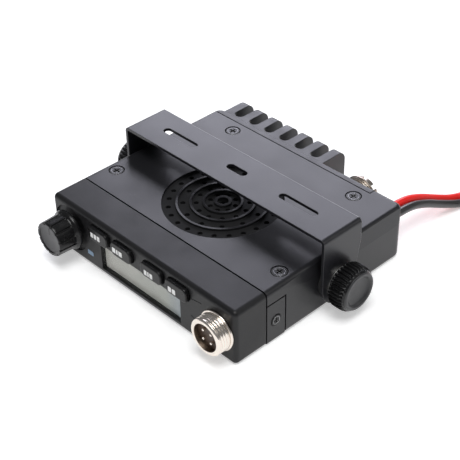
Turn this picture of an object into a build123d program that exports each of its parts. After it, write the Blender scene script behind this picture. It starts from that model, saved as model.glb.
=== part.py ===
from build123d import *
import math
import os

# Mobile transceiver with its U bracket, lying upside-down as it hangs under a dashboard.
# +X runs across the width towards the microphone socket, the front faces -Y, the heat sink +Y.
# The origin is on the face that the set lies on, in the middle of the housing. Millimetres.

# ---- driving dimensions -------------------------------------------------------------------------
BODY_W = 102.0
BODY_H = 24.0
HALF_W = BODY_W / 2
FRONT_Y = -50.0
FIN_TIP_Y = 52.8
REAR_Y = 40.0  # outer face of the rear wall, where the fins start
SEAM_Y = -35.0  # joint between the bezel and the covers
SEAM_GAP = 0.6  # open line round the bezel and the ears
STRIP_Y = 36.0  # where the cover stops and the casting shows
STRIP_GAP = 0.35  # open line between the cover and the casting
WALL_Y = STRIP_Y + STRIP_GAP  # inner face of the casting's rear wall
STRIP_END_X = 37.0  # the cover wraps over the rear wall from here to +X
EDGE_R = 2.0  # rounding of the housing's long edges
FACE_R = 1.9  # rounding round the front face
CORNER_R = 3.6  # rounding in plan of the two rear corners
CREASE_Z, CREASE_IN = 16.0, 0.5  # the cover's sides lean in above this height, by this much
CREASE_Y0 = -8.0  # the lean is full from here back and fades out towards the bezel

BEZEL_WALL = 1.8
BEZEL_FRONT = 2.0
COVER_T = 1.6
TRAY_T = 1.4
FIT = 0.05  # radial clearance of a turning or sliding fit
GAP = 0.3  # gap between pieces that move past each other

# rest of the height: web of the casting, board, loudspeaker
WEB_Z0, WEB_Z1 = 1.6, 3.4
BOARD_Z0, BOARD_Z1 = 5.4, 7.0
CEILING_Z = BODY_H - COVER_T

# bracket and its thumb screws
PIVOT_Z = 12.0
BRACKET_HALF_W = 54.4
BRACKET_T = 1.2
BRACKET_TOP_Z = 34.5
BRACKET_Y0, BRACKET_Y1 = -9.3, 10.7
LEG_END_R = 9.3
SLOT_W, SLOT_L, SLOT_X = 3.4, 18.6, 32.2
SHORT_SLOT_L = 10.0
STUD_R = 2.5
THUMB_R, THUMB_FACE_R, THUMB_X0, THUMB_X1 = 9.2, 7.4, 55.5, 64.0

# front panel
KEY_XS = (-22.1, -8.5, 8.5, 22.1)
KEY_Z, KEY_W, KEY_H, KEY_PROUD, KEY_TRAVEL = 18.4, 11.6, 6.0, 1.7, 0.5
WINDOW_HALF_W, WINDOW_Z0, WINDOW_Z1 = 22.5, 2.6, 14.2
KNOB_X, KNOB_Z, KNOB_TIP_Y = -40.5, 12.5, -61.0
MIC_X, MIC_Z, MIC_TIP_Y = 42.3, 12.0, -56.4
MIC_THREAD_R, MIC_FLANGE_R, MIC_CAVITY_R = 7.5, 8.1, 5.5

# speaker grille
SPEAKER_Y = -7.0
GRILLE_R, GRILLE_DEPTH, RIB_W = 23.7, 1.0, 0.9
RIB_RADII = (7.4, 12.4, 17.8)
HOLE_ROWS = ((5.2, 8), (10.3, 12), (15.4, 12), (21.0, 24))
GRILLE_HOLE_R = 1.0

# heat sink and rear panel
FIN_X0, FIN_PITCH, FIN_T, FIN_COUNT = -47.5, 8.8, 4.1, 7
ANTENNA_X, ANTENNA_Z, ANTENNA_THREAD_R, ANTENNA_TIP_Y = 24.3, 12.5, 7.94, 48.8
JACK_X, JACK_Z = 12.9, 10.2
GROMMET_X, GROMMET_Z, GROMMET_HALF_W, GROMMET_HALF_H = 43.0, 14.8, 4.1, 2.1

# fasteners
M3_R, M3_HEAD_R, M3_HEAD_H = 1.5, 2.8, 1.5
COVER_SCREWS = ((-45.2, -22.4), (45.2, -22.4), (-33.4, 30.5), (33.4, 30.5))
EAR_SCREW_Y, EAR_SCREW_Z, EAR_SCREW_R, EAR_HEAD_R = -30.0, 9.5, 1.25, 2.3
BOARD_SCREWS = ((-40, -28), (40, -28), (-40, 22), (40, 22), (0, 30))

# supply leads
WIRE_D = 3.4


# ---- helpers ------------------------------------------------------------------------------------
def block(x0, x1, y0, y1, z0, z1):
    centre = Pos((x0 + x1) / 2, (y0 + y1) / 2, (z0 + z1) / 2)
    return centre * Box(x1 - x0, y1 - y0, z1 - z0)


def rod_x(r, x0, x1, y, z):
    return Pos((x0 + x1) / 2, y, z) * Rot(0, 90, 0) * Cylinder(r, abs(x1 - x0))


def rod_y(r, y0, y1, x, z):
    return Pos(x, (y0 + y1) / 2, z) * Rot(90, 0, 0) * Cylinder(r, abs(y1 - y0))


def rod_z(r, z0, z1, x, y):
    return Pos(x, y, (z0 + z1) / 2) * Cylinder(r, abs(z1 - z0))


def turned(profile):
    """A solid of revolution about Z from (radius, height) corners."""
    outline = Polyline(*[(r, 0, z) for r, z in profile], close=True)
    return revolve(make_face(outline), Axis.Z, 360)


def along_y(shape, x, z):
    """Put a shape turned about Z on a line parallel to Y, its height measured towards -Y."""
    return Pos(x, 0, z) * Rot(90, 0, 0) * shape


def along_x(shape, side):
    """Put a shape turned about Z on the thumb screws' line, its height measured outwards."""
    return Pos(0, 0, PIVOT_Z) * Rot(0, 90 * side, 0) * shape


def group(solids):
    return Compound(list(solids))


def both_sides(shape):
    return group([shape, mirror(shape, about=Plane.YZ)])


def save(node, shape):
    export_step(shape, f"parts/{node}.step")


def housing_slice(y0, y1):
    """A length of the housing's outer form, a box with rounded long edges."""
    outline = Rectangle(BODY_W, BODY_H)
    outline = fillet(outline.vertices(), EDGE_R)
    section = Plane((0, y0, BODY_H / 2), x_dir=(1, 0, 0), z_dir=(0, -1, 0)) * outline
    return extrude(section, -(y1 - y0))


def rear_housing(y0):
    """The housing's outer form from `y0` back: rear corners rounded in plan, then the long edges."""
    form = block(-HALF_W, HALF_W, y0, REAR_Y, 0, BODY_H)
    form = fillet(form.edges().filter_by(Axis.Z).sort_by(Axis.Y)[-2:], CORNER_R)
    flat_faces = form.faces().sort_by(Axis.Z)
    rims = flat_faces[0].edges() + flat_faces[-1].edges()
    return fillet([e for e in rims if e.center().Y > y0 + 0.1], EDGE_R)


def cross_recess(x, y, top_z, depth=1.0, span=3.0, width=0.7):
    """The cross slot of a screw head that faces up."""
    arm = Box(span, width, 2 * depth)
    return Pos(x, y, top_z) * (arm + Rot(0, 0, 90) * arm)


def countersunk_screw(x, y, top_z, length):
    head = [(0, top_z), (M3_HEAD_R, top_z), (M3_HEAD_R, top_z - 0.3), (M3_R, top_z - M3_HEAD_H)]
    shank = [(M3_R, top_z - length), (0, top_z - length)]
    return Pos(x, y, 0) * turned(head + shank) - cross_recess(x, y, top_z)


# ---- front bezel --------------------------------------------------------------------------------
def key_prism(x, grow, y0, y1):
    """A key's outline, grown all round by `grow`, between two depths."""
    outline = RectangleRounded(KEY_W + 2 * grow, KEY_H + 2 * grow, 2.3 + grow)
    section = Plane((x, y0, KEY_Z), x_dir=(1, 0, 0), z_dir=(0, -1, 0)) * outline
    return extrude(section, -(y1 - y0))


def front_bezel():
    shell = housing_slice(FRONT_Y, SEAM_Y)
    shell = fillet(shell.faces().sort_by(Axis.Y)[0].edges(), FACE_R)
    shell -= block(
        -HALF_W + BEZEL_WALL, HALF_W - BEZEL_WALL,
        FRONT_Y + BEZEL_FRONT, SEAM_Y + 1,
        BEZEL_WALL, BODY_H - BEZEL_WALL,
    )
    window = (-WINDOW_HALF_W, WINDOW_HALF_W, FRONT_Y - 1, FRONT_Y + 3, WINDOW_Z0, WINDOW_Z1)
    shell -= block(*window)
    for x in KEY_XS:
        shell -= key_prism(x, GAP, FRONT_Y - 1, FRONT_Y + 3)
    shell -= rod_y(3.8, FRONT_Y - 1, FRONT_Y + 3, KNOB_X, KNOB_Z)
    shell -= rod_y(9.8, FRONT_Y - 1, FRONT_Y + 1.0, KNOB_X, KNOB_Z)  # recess behind the knob
    shell -= rod_y(6.05, FRONT_Y - 1, FRONT_Y + 3, MIC_X, MIC_Z)
    # two tongues reach back inside the casting's rails and take the ear screws
    for side in (-1, 1):
        x0, x1 = sorted((side * 44.6, side * 46.6))
        tongue = block(x0, x1, SEAM_Y - 4, -26.0, 5.0, 14.0)
        bridge_x = sorted((side * 44.6, side * (HALF_W - 1.0)))
        tongue += block(*bridge_x, SEAM_Y - 4, SEAM_Y - 1.2, 5.0, 14.0)
        tongue -= rod_x(EAR_SCREW_R + FIT, x0 - 1, x1 + 1, EAR_SCREW_Y, EAR_SCREW_Z)
        shell += tongue
    return shell


def display():
    lens = block(-22.4, 22.4, FRONT_Y + 0.9, FRONT_Y + 1.9, 2.7, 14.1)
    panel = block(-22.3, 22.3, FRONT_Y + 1.95, FRONT_Y + 5.0, 2.75, 14.05)
    frame = block(-23.6, 23.6, FRONT_Y + 2.1, FRONT_Y + 9.0, 2.1, 14.6) - panel
    frame -= block(-20, 20, FRONT_Y + 7.2, FRONT_Y + 9.1, 4.0, 12.5)  # hollow for the backlight
    save("display_lens", lens)
    save("display_panel", panel)
    save("display_frame", frame)


BOARD_FRONT_Y = FRONT_Y + 9.0  # front face of the front circuit board
SWITCH_Y0 = BOARD_FRONT_Y - 3.4
STEM_R = 1.6


def key(x):
    """A key cap with the flange that keeps it in the bezel and a short foot."""
    front_y = FRONT_Y - KEY_PROUD
    cap = key_prism(x, 0, front_y, FRONT_Y + 2.6)
    cap = fillet(cap.faces().sort_by(Axis.Y)[0].edges(), 0.6)
    flange = block(x - 6.4, x + 6.4, FRONT_Y + 2.3, FRONT_Y + 3.1, KEY_Z - 3.5, KEY_Z + 3.5)
    foot = rod_y(STEM_R, FRONT_Y + 3.0, SWITCH_Y0 - 0.7, x, KEY_Z - 0.4)
    return cap + flange + foot


def switch_stem(x):
    return rod_y(STEM_R, SWITCH_Y0 - 0.7, SWITCH_Y0 + 0.8, x, KEY_Z - 0.4)


def tact_switches():
    housings = []
    for x in KEY_XS:
        z = KEY_Z - 0.4
        body = block(x - 3, x + 3, SWITCH_Y0, BOARD_FRONT_Y, z - 3, z + 3)
        body = fillet(body.edges().filter_by(Axis.Y), 0.5)
        housings.append(body - rod_y(STEM_R + FIT, SWITCH_Y0 - 1, SWITCH_Y0 + 1.2 + KEY_TRAVEL, x, z))
    return group(housings)


# ---- front knob and encoder ---------------------------------------------------------------------
SHAFT_R = 3.0
SHAFT_FLAT = 1.5  # distance of the shaft's flat from its axis
ROTOR_Y0, ROTOR_Y1 = FRONT_Y + 5.4, FRONT_Y + 6.6
ENCODER_Y0 = FRONT_Y + 3.8


def front_knob():
    """Round knob with a skirt and narrow grip notches, hollow at the back to clear the bush."""
    tip, skirt = -KNOB_TIP_Y, -FRONT_Y + 0.9
    profile = [
        (0, tip - 0.5), (5.6, tip - 0.5), (6.0, tip), (6.9, tip), (7.2, tip - 0.4),
        (7.5, skirt + 2.2), (8.1, skirt + 1.6), (8.3, skirt), (5.4, skirt), (5.4, skirt + 3.0),
        (0, skirt + 3.0),
    ]
    knob = turned(profile)
    notch = Pos(7.45, 0, (tip + skirt) / 2 + 2.6) * Box(1.2, 0.8, tip - skirt)
    for turn in range(12):
        knob -= Rot(0, 0, 30 * turn + 15) * notch
    knob -= Pos(0, 5.3, tip) * Box(0.9, 3.4, 1.4)  # pointer notch
    knob = along_y(knob, KNOB_X, KNOB_Z)
    return knob - rod_y(SHAFT_R + 0.02, KNOB_TIP_Y + 2.6, FRONT_Y, KNOB_X, KNOB_Z)


def shaft_with_flat(grow, y0, y1, flat_y0):
    """The encoder's shaft, or its hole: round, with a flat from `flat_y0` inwards."""
    shaft = rod_y(SHAFT_R + grow, y0, y1, KNOB_X, KNOB_Z)
    flat_z = KNOB_Z - SHAFT_FLAT - grow
    return shaft - block(KNOB_X - 4, KNOB_X + 4, flat_y0, y1 + 1, flat_z - 4, flat_z)


def encoder_shaft():
    return shaft_with_flat(0, KNOB_TIP_Y + 2.7, FRONT_Y + 7.1, FRONT_Y + 4.6)


def encoder_rotor():
    disc = rod_y(4.6, ROTOR_Y0, ROTOR_Y1, KNOB_X, KNOB_Z)
    for turn in range(12):
        angle = math.radians(30 * turn)
        x, z = KNOB_X + 4.7 * math.cos(angle), KNOB_Z + 4.7 * math.sin(angle)
        disc -= rod_y(0.4, ROTOR_Y0 - 1, ROTOR_Y1 + 1, x, z)  # detent notches
    return disc - shaft_with_flat(0.06, ROTOR_Y0 - 1, ROTOR_Y1 + 1, ROTOR_Y0 - 1)


def encoder_body():
    case = block(KNOB_X - 6, KNOB_X + 6, ENCODER_Y0, BOARD_FRONT_Y, KNOB_Z - 6, KNOB_Z + 6)
    case += rod_y(3.5, FRONT_Y - 1.4, ENCODER_Y0, KNOB_X, KNOB_Z)
    case -= rod_y(5.0, ROTOR_Y0 - 0.8, ROTOR_Y1 + 1.4, KNOB_X, KNOB_Z)
    return case - rod_y(SHAFT_R + FIT, FRONT_Y - 3, ROTOR_Y0, KNOB_X, KNOB_Z)


# ---- microphone socket --------------------------------------------------------------------------
def mic_socket():
    tip = -MIC_TIP_Y
    face, inner_end = -FRONT_Y, -FRONT_Y - 7.0
    profile = [
        (MIC_CAVITY_R, tip), (MIC_THREAD_R - 0.7, tip), (MIC_THREAD_R, tip - 0.7),
        (MIC_THREAD_R, face + 1.2), (MIC_FLANGE_R, face + 1.0), (MIC_FLANGE_R, face),
        (6.0, face), (6.0, inner_end), (MIC_CAVITY_R, inner_end),
    ]
    shell = along_y(turned(profile), MIC_X, MIC_Z)
    rib = block(MIC_X - 0.6, MIC_X + 0.6, MIC_TIP_Y + 0.6, FRONT_Y, MIC_Z + 4.7, MIC_Z + 5.8)
    save("mic_socket_shell", shell + rib)

    insulator = rod_y(MIC_CAVITY_R - 0.02, FRONT_Y - 4.2, FRONT_Y + 6.4, MIC_X, MIC_Z) - rib
    pins = []
    for turn in range(4):
        angle = math.radians(45 + 90 * turn)
        x, z = MIC_X + 2.8 * math.cos(angle), MIC_Z + 2.8 * math.sin(angle)
        insulator -= rod_y(0.62, FRONT_Y - 5, FRONT_Y + 8, x, z)
        pin = rod_y(0.6, MIC_TIP_Y + 0.9, FRONT_Y + 9.0, x, z)
        pins.append(fillet(pin.faces().sort_by(Axis.Y)[0].edges(), 0.35))
    save("mic_socket_insulator", insulator)
    save("mic_socket_pins", group(pins))

    nut = rod_y(6.8, FRONT_Y + 2, FRONT_Y + 4.2, MIC_X, MIC_Z)
    nut -= rod_y(6.02, FRONT_Y, FRONT_Y + 5, MIC_X, MIC_Z)
    for angle in (0, 90):
        notch = Pos(MIC_X, FRONT_Y + 4.2, MIC_Z) * Rot(0, angle, 0) * Box(16, 1.4, 1.6)
        nut -= notch
    save("mic_socket_nut", nut)


# ---- covers -------------------------------------------------------------------------------------
def grille_cut():
    """What is taken out of the cover's top for the ring grooves and the sound holes."""
    floor_z = BODY_H - GRILLE_DEPTH
    edges = [3.4] + [r + s for r in RIB_RADII for s in (-RIB_W / 2, RIB_W / 2)] + [GRILLE_R]
    cut = rod_z(2.2, floor_z, BODY_H + 1, 0, SPEAKER_Y)
    for inner, outer in zip(edges[0::2], edges[1::2]):
        groove = rod_z(outer, floor_z, BODY_H + 1, 0, SPEAKER_Y)
        cut += groove - rod_z(inner, floor_z - 1, BODY_H + 2, 0, SPEAKER_Y)
    for row_r, count in HOLE_ROWS:
        for turn in range(count):
            angle = 2 * math.pi * (turn + 0.5) / count
            x, y = row_r * math.cos(angle), SPEAKER_Y + row_r * math.sin(angle)
            cut += rod_z(GRILLE_HOLE_R, BODY_H - 4, BODY_H, x, y)
    return cut + rod_z(0.8, BODY_H - 4, BODY_H, 0, SPEAKER_Y)


EAR_Y0, EAR_Y1, EAR_TOP_Z = SEAM_Y + SEAM_GAP, -25.4, 17.7


def side_lean(side):
    """What one side of the cover loses by leaning in above its crease."""
    rise, fade = BODY_H - CREASE_Z, CREASE_Y0 - SEAM_Y
    x0, x1 = sorted((side * (HALF_W - 5), side * (HALF_W + 5)))
    lost = []
    for slope, y0, y1 in ((0, CREASE_Y0, REAR_Y + 1), (rise / fade, SEAM_Y, CREASE_Y0)):
        normal = (side * rise / CREASE_IN, slope, 1)
        facet = Plane((side * HALF_W, CREASE_Y0, CREASE_Z), z_dir=normal)
        lost.append((facet * Pos(0, 0, 5) * Box(200, 200, 10)) & block(x0, x1, y0, y1, 0, BODY_H + 1))
    return lost[0] + lost[1]


def cover_shell():
    shell = rear_housing(SEAM_Y + SEAM_GAP)
    inner_x = HALF_W - COVER_T
    shell -= block(-inner_x, inner_x, SEAM_Y - 1, REAR_Y - COVER_T, -1, CEILING_Z)
    shell -= block(-HALF_W - 1, STRIP_END_X, STRIP_Y, REAR_Y + 1, -1, BODY_H + 1)
    shell -= block(-HALF_W - 1, HALF_W + 1, SEAM_Y - 1, REAR_Y + 1, -1, 0.2)
    shell += rod_z(GRILLE_R + 1.0, CEILING_Z - 0.6, BODY_H - 0.5, 0, SPEAKER_Y)
    shell -= grille_cut()
    for side in (-1, 1):
        ear = sorted((side * (inner_x - 1), side * (HALF_W + 1)))
        shell -= block(*ear, SEAM_Y - 1, EAR_Y1 + SEAM_GAP, -1, EAR_TOP_Z + SEAM_GAP)
        shell -= rod_x(4.2, *ear, 0, PIVOT_Z)
        shell -= side_lean(side)
    for x, y in COVER_SCREWS:
        sink = [(0, BODY_H + 1), (3.25, BODY_H + 1), (3.25, BODY_H - 0.5), (1.7, BODY_H - 1.65)]
        shell -= Pos(x, y, 0) * turned(sink + [(1.7, CEILING_Z - 1), (0, CEILING_Z - 1)])
    hole_w, hole_h = GROMMET_HALF_W + 1.1, GROMMET_HALF_H + 1.1
    return shell - block(
        GROMMET_X - hole_w, GROMMET_X + hole_w, 37, 41, GROMMET_Z - hole_h, GROMMET_Z + hole_h
    )


def base_tray():
    """Flat plate that the set lies on, with an ear turned up at both front corners."""
    tray = block(-49.2, 49.2, EAR_Y0, STRIP_Y - 0.2, 0, TRAY_T)
    for side in (-1, 1):
        plate_x = sorted((side * 48, side * HALF_W))
        ear_x = sorted((side * (HALF_W - 1.5), side * HALF_W))
        tray += block(*plate_x, EAR_Y0, EAR_Y1, 0, TRAY_T)
        tray += block(*ear_x, EAR_Y0, EAR_Y1, 0, EAR_TOP_Z)
        tray -= rod_x(EAR_SCREW_R + 0.1, *plate_x, EAR_SCREW_Y, EAR_SCREW_Z)
        seat = sorted((side * (HALF_W - 0.8), side * (HALF_W + 1)))
        tray -= rod_x(EAR_HEAD_R + 0.2, *seat, EAR_SCREW_Y, EAR_SCREW_Z)
    outer = tray.edges().filter_by(Axis.Y).group_by(Axis.Z)[0]
    return fillet([e for e in outer if abs(e.center().X) > HALF_W - 0.1], 1.2)


def ear_screw():
    head = rod_x(EAR_HEAD_R, HALF_W - 0.8, HALF_W + 0.3, EAR_SCREW_Y, EAR_SCREW_Z)
    head = fillet(head.faces().sort_by(Axis.X)[-1].edges(), 0.4)
    shank = rod_x(EAR_SCREW_R, 43.5, HALF_W - 0.8, EAR_SCREW_Y, EAR_SCREW_Z)
    arm = Box(1.2, 2.6, 0.6)
    recess = Pos(HALF_W + 0.3, EAR_SCREW_Y, EAR_SCREW_Z) * (arm + Rot(90, 0, 0) * arm)
    return head + shank - recess


# ---- casting ------------------------------------------------------------------------------------
RAIL_X0, RAIL_X1, RAIL_TOP_Z = 46.8, 49.0, CEILING_Z - 0.2


def fin_block():
    width = FIN_PITCH * (FIN_COUNT - 1) + FIN_T
    fins = block(FIN_X0, FIN_X0 + width, REAR_Y - 1, FIN_TIP_Y, 0.6, BODY_H - 0.4)
    tip_edges = fins.faces().sort_by(Axis.Y)[-1].edges().filter_by(Axis.X)
    fins = fillet(tip_edges.sort_by(Axis.Z)[-1], 4.2)
    fins = fillet(fins.edges().filter_by(Axis.X).sort_by(Axis.Z)[:2].sort_by(Axis.Y)[-1], 3.0)
    pocket_w = FIN_PITCH - FIN_T
    pocket = rod_z(pocket_w / 2, -1, BODY_H + 1, 0, REAR_Y + pocket_w / 2)
    pocket += block(-pocket_w / 2, pocket_w / 2, REAR_Y + pocket_w / 2, 60, -1, BODY_H + 1)
    for i in range(FIN_COUNT - 1):
        fins -= Pos(FIN_X0 + FIN_T + FIN_PITCH * i + pocket_w / 2, 0, 0) * pocket
    return fins


def chassis():
    front_y, wall_y0, wall_y1 = SEAM_Y + 0.5, WALL_Y + 0.2, REAR_Y - COVER_T - 0.2
    casting = block(-RAIL_X1, RAIL_X1, front_y, wall_y0, WEB_Z0, WEB_Z1)
    for side in (-1, 1):
        rail = sorted((side * RAIL_X0, side * RAIL_X1))
        casting += block(*rail, front_y, wall_y0, WEB_Z0, RAIL_TOP_Z)
        casting += rod_x(4.0, side * 42.5, side * (HALF_W - 0.1), 0, PIVOT_Z)
    rear = rear_housing(STRIP_Y - 10)
    casting += rear & block(-HALF_W, STRIP_END_X - STRIP_GAP, WALL_Y, REAR_Y, 0.2, BODY_H)
    casting += block(STRIP_END_X - 1, RAIL_X1, STRIP_Y, wall_y1, WEB_Z0, RAIL_TOP_Z)
    casting += fin_block()
    for x, y in COVER_SCREWS:
        casting += rod_z(3.0, WEB_Z0, RAIL_TOP_Z, x, y)
        casting -= rod_z(M3_R + FIT, CEILING_Z - 8, CEILING_Z + 1, x, y)
    for x, y in BOARD_SCREWS:
        casting += rod_z(2.4, WEB_Z0, BOARD_Z0, x, y)
        casting -= rod_z(1.3, BOARD_Z0 - 2.4, BOARD_Z0 + 1, x, y)
    for side in (-1, 1):
        casting -= rod_x(STUD_R + FIT, side * 42, side * 52, 0, PIVOT_Z)
        casting -= rod_x(EAR_SCREW_R + FIT, side * 45, side * 50, EAR_SCREW_Y, EAR_SCREW_Z)
    casting -= rod_y(6.52, 30, 41, ANTENNA_X, ANTENNA_Z)
    casting -= rod_y(3.02, 30, 41, JACK_X, JACK_Z)
    casting -= rod_y(1.3, 30, 38.6, TRANSISTOR_X, TRANSISTOR_SCREW_Z)
    hole_w, hole_h = GROMMET_HALF_W + 0.1, GROMMET_HALF_H + 0.1
    return casting - block(
        GROMMET_X - hole_w, GROMMET_X + hole_w, 30, 39, GROMMET_Z - hole_h, GROMMET_Z + hole_h
    )


# ---- bracket and thumb screws -------------------------------------------------------------------
def bracket():
    """One strip of sheet steel bent to a U, its legs drawn in to a round end at the pivot."""
    blank_h = 60.0  # height of the closed strip before its legs are cut to length
    outer = Rectangle(2 * BRACKET_HALF_W, blank_h)
    outer = fillet(outer.vertices(), 1.8)
    inner = Rectangle(2 * (BRACKET_HALF_W - BRACKET_T), blank_h - 2 * BRACKET_T)
    inner = fillet(inner.vertices(), 0.6)
    middle = (0, BRACKET_Y0, BRACKET_TOP_Z - blank_h / 2)
    plane = Plane(middle, x_dir=(1, 0, 0), z_dir=(0, -1, 0))
    strip = extrude(plane * (outer - inner), -(BRACKET_Y1 - BRACKET_Y0))

    # side view of the strip: straight front edge, rear edge drawn in below the bend
    taper_z, above_z = 25.0, BRACKET_TOP_Z + 5
    tangent = math.radians(20)
    rear_y, rear_z = LEG_END_R * math.cos(tangent), PIVOT_Z + LEG_END_R * math.sin(tangent)
    side_view = make_face(
        Polyline(
            (0, BRACKET_Y0, PIVOT_Z), (0, BRACKET_Y0, above_z), (0, BRACKET_Y1, above_z),
            (0, BRACKET_Y1, taper_z), (0, rear_y, rear_z), (0, 0, PIVOT_Z),
            close=True,
        )
    )
    reach = BRACKET_HALF_W + 5
    keep = extrude(side_view, reach, both=True) + rod_x(LEG_END_R, -reach, reach, 0, PIVOT_Z)
    strip &= keep
    strip -= rod_x(STUD_R + GAP, -reach, reach, 0, PIVOT_Z)
    middle_y = (BRACKET_Y0 + BRACKET_Y1) / 2
    for x, length in ((-SLOT_X, SLOT_L), (0, SHORT_SLOT_L), (SLOT_X, SLOT_L)):
        slot = extrude(SlotOverall(length, SLOT_W), 10, both=True)
        strip -= Pos(x, middle_y, BRACKET_TOP_Z) * slot
    return strip


STUD_X0, STUD_X1 = 44.5, THUMB_X1 - 3.0
HEX_X0 = THUMB_X0 + 1.5  # the stud's hexagonal head starts here, inside the knob


def thumb_knob():
    """Moulded knob of a thumb screw: ribbed rim, dished face, hexagonal seat for the stud's head."""
    bore_r = STUD_R + FIT
    profile = [
        (bore_r, THUMB_X0), (7.6, THUMB_X0), (THUMB_R - 0.6, THUMB_X0 + 0.8),
        (THUMB_R, THUMB_X0 + 1.6), (THUMB_R, THUMB_X1 - 3.0), (THUMB_FACE_R + 0.5, THUMB_X1 - 0.8),
        (THUMB_FACE_R, THUMB_X1), (THUMB_FACE_R - 1.0, THUMB_X1), (THUMB_FACE_R - 2.0, THUMB_X1 - 1.2),
        (0, THUMB_X1 - 1.6), (0, STUD_X1), (bore_r, STUD_X1),
    ]
    knob = turned(profile)
    for turn in range(36):
        rib_gap = Pos(THUMB_R + 0.1, 0, (THUMB_X0 + THUMB_X1) / 2) * Cylinder(0.4, 12)
        knob -= Rot(0, 0, 10 * turn) * rib_gap
    return knob - Pos(0, 0, HEX_X0) * extrude(RegularPolygon(4.05, 6), 3.55)


def thumb_stud():
    stud = rod_z(STUD_R, STUD_X0, STUD_X1, 0, 0)
    return stud + Pos(0, 0, HEX_X0) * extrude(RegularPolygon(4.0, 6), 3.5)


def ring(inner, outer, height0, height1):
    return turned([(inner, height0), (outer, height0), (outer, height1), (inner, height1)])


# ---- rear sockets -------------------------------------------------------------------------------
def antenna_socket():
    face = -REAR_Y
    profile = [
        (5.2, face + 6.5), (6.5, face + 6.5), (6.5, face), (ANTENNA_THREAD_R, face),
        (ANTENNA_THREAD_R, face - 6.2), (ANTENNA_THREAD_R - 0.5, face - 6.7), (6.9, face - 6.7),
        (6.9, -ANTENNA_TIP_Y), (6.0, -ANTENNA_TIP_Y), (6.0, face - 4.0), (5.2, face - 4.0),
    ]
    body = along_y(turned(profile), ANTENNA_X, ANTENNA_Z)
    for turn in range(8):
        tooth_gap = Rot(0, 45 * turn, 0) * Pos(6.5, 0, 0) * Box(2.4, 3.6, 2.0)
        body -= Pos(ANTENNA_X, ANTENNA_TIP_Y, ANTENNA_Z) * tooth_gap
    save("antenna_socket", body)

    insulator = rod_y(5.2, 34.5, REAR_Y + 4.0, ANTENNA_X, ANTENNA_Z)
    insulator -= rod_y(2.7, 30, 50, ANTENNA_X, ANTENNA_Z)
    save("antenna_insulator", insulator)
    contact = rod_y(2.7, 31.5, REAR_Y + 7.0, ANTENNA_X, ANTENNA_Z)
    contact -= rod_y(2.05, 36.5, 50, ANTENNA_X, ANTENNA_Z)
    save("antenna_contact", contact)

    nut = Plane((ANTENNA_X, WALL_Y - FIT, ANTENNA_Z), x_dir=(1, 0, 0), z_dir=(0, -1, 0))
    nut = extrude(nut * RegularPolygon(8.8, 6), 2.4) - rod_y(6.52, 30, 41, ANTENNA_X, ANTENNA_Z)
    save("antenna_nut", nut)


def speaker_jack():
    """Socket for an outside loudspeaker: threaded bush through the casting, box on the board."""
    body = rod_y(3.0, 33.0, REAR_Y + 2.2, JACK_X, JACK_Z)
    body += block(JACK_X - 3.1, JACK_X + 3.1, 24.0, 33.5, BOARD_Z1, 2 * JACK_Z - BOARD_Z1)
    return body - rod_y(1.8, 27, REAR_Y + 3, JACK_X, JACK_Z)


def supply_grommet():
    """Rubber bush in the rear wall; the two leads leave its outer face."""
    x0, x1 = GROMMET_X - GROMMET_HALF_W, GROMMET_X + GROMMET_HALF_W
    z0, z1 = GROMMET_Z - GROMMET_HALF_H, GROMMET_Z + GROMMET_HALF_H
    bush = block(x0, x1, 34.0, REAR_Y + 2, z0, z1)
    bush += block(x0 - 1, x1 + 1, 38.3, REAR_Y + 0.9, z0 - 1, z1 + 1)
    return fillet(bush.faces().sort_by(Axis.Y)[-1].edges(), 0.5)


# ---- loudspeaker --------------------------------------------------------------------------------
def speaker():
    centre = Pos(0, SPEAKER_Y, 0)
    basket = turned([
        (18.9, 20.9), (19.7, 20.3), (10.2, 14.9), (6.2, 14.9), (6.2, 14.1), (10.6, 14.1),
        (20.9, 19.9), (22.5, 19.9), (22.5, 21.5), (21.0, 21.5), (21.0, 20.9),
    ])
    for turn in range(6):
        basket -= Rot(0, 0, 60 * turn) * Pos(15.0, 0, 16.8) * Box(5.2, 7.5, 5.4)
    save("speaker_basket", centre * basket)

    yoke = turned([(0, 10.4), (9.5, 10.4), (9.5, 11.3), (3.6, 11.3), (3.6, 14.6), (0, 14.6)])
    plate = turned([(4.55, 13.4), (9.0, 13.4), (9.0, 14.1), (4.55, 14.1)])
    save("speaker_yoke", centre * group([yoke, plate]))
    save("speaker_magnet", centre * turned([(5.6, 11.3), (9.8, 11.3), (9.8, 13.4), (5.6, 13.4)]))

    cone = turned([
        (4.2, 15.7), (17.0, 20.3), (17.0, 20.7), (5.2, 16.5), (3.6, 17.6), (0, 18.0),
        (0, 17.6), (3.4, 17.2), (4.2, 16.4),
    ])
    save("speaker_cone", centre * cone)
    save("speaker_voice_coil", centre * turned([(3.9, 12.2), (4.2, 12.2), (4.2, 15.7), (3.9, 15.7)]))
    surround = turned([
        (17.0, 20.4), (17.5, 20.9), (18.3, 21.1), (18.9, 20.95), (18.9, 21.25), (18.2, 21.45),
        (17.4, 21.2), (17.0, 20.7),
    ])
    save("speaker_surround", centre * surround)
    save("dust_mesh", centre * rod_z(22.4, 21.55, 21.75, 0, 0))


# ---- boards and components ----------------------------------------------------------------------
TRANSISTOR_X, TRANSISTOR_SCREW_Z = -18.0, 18.0


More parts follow.
